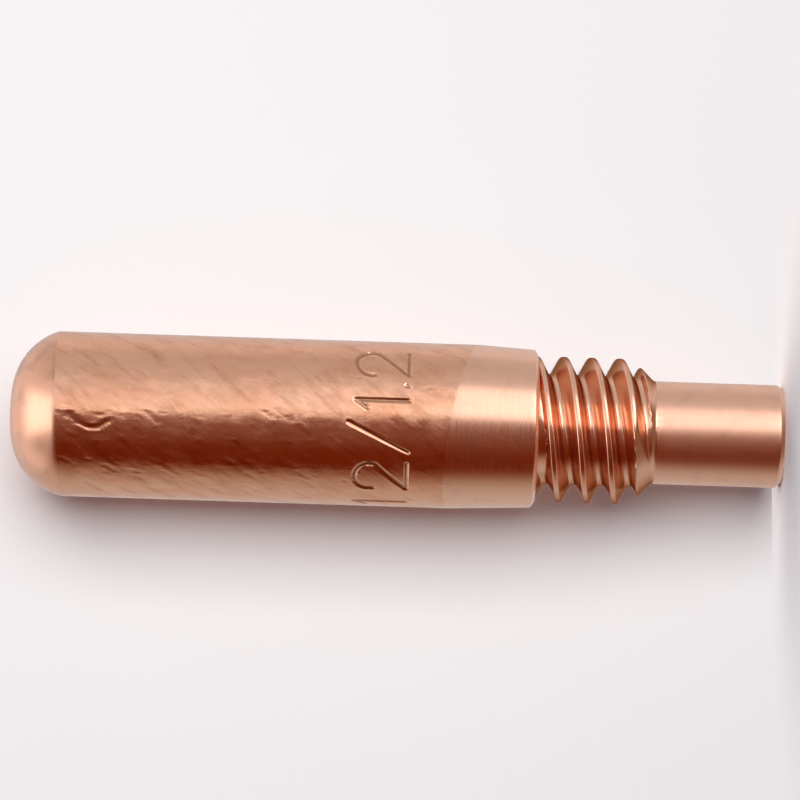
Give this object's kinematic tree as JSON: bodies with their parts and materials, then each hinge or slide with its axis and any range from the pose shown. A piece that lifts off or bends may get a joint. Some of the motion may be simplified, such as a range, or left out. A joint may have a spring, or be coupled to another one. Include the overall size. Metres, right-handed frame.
{
  "type": "welding contact tip",
  "caption": "Copper contact tip for a wire-feed welding torch: round-nosed straight body, tapered land, coarse multi-start thread, plain pilot and a through bore for the wire.",
  "frame": {"origin": "centre of the flat rear face of the pilot, on which the tip stands", "axes": "+Z along the tip's axis, from the pilot to the rounded nose"},
  "size_m": [0.008, 0.008, 0.0374],
  "materials": {
    "copper": "turned and drawn copper, satin"
  },
  "bodies": {
    "root": {"contact_tip": "copper"}
  },
  "joints": []
}
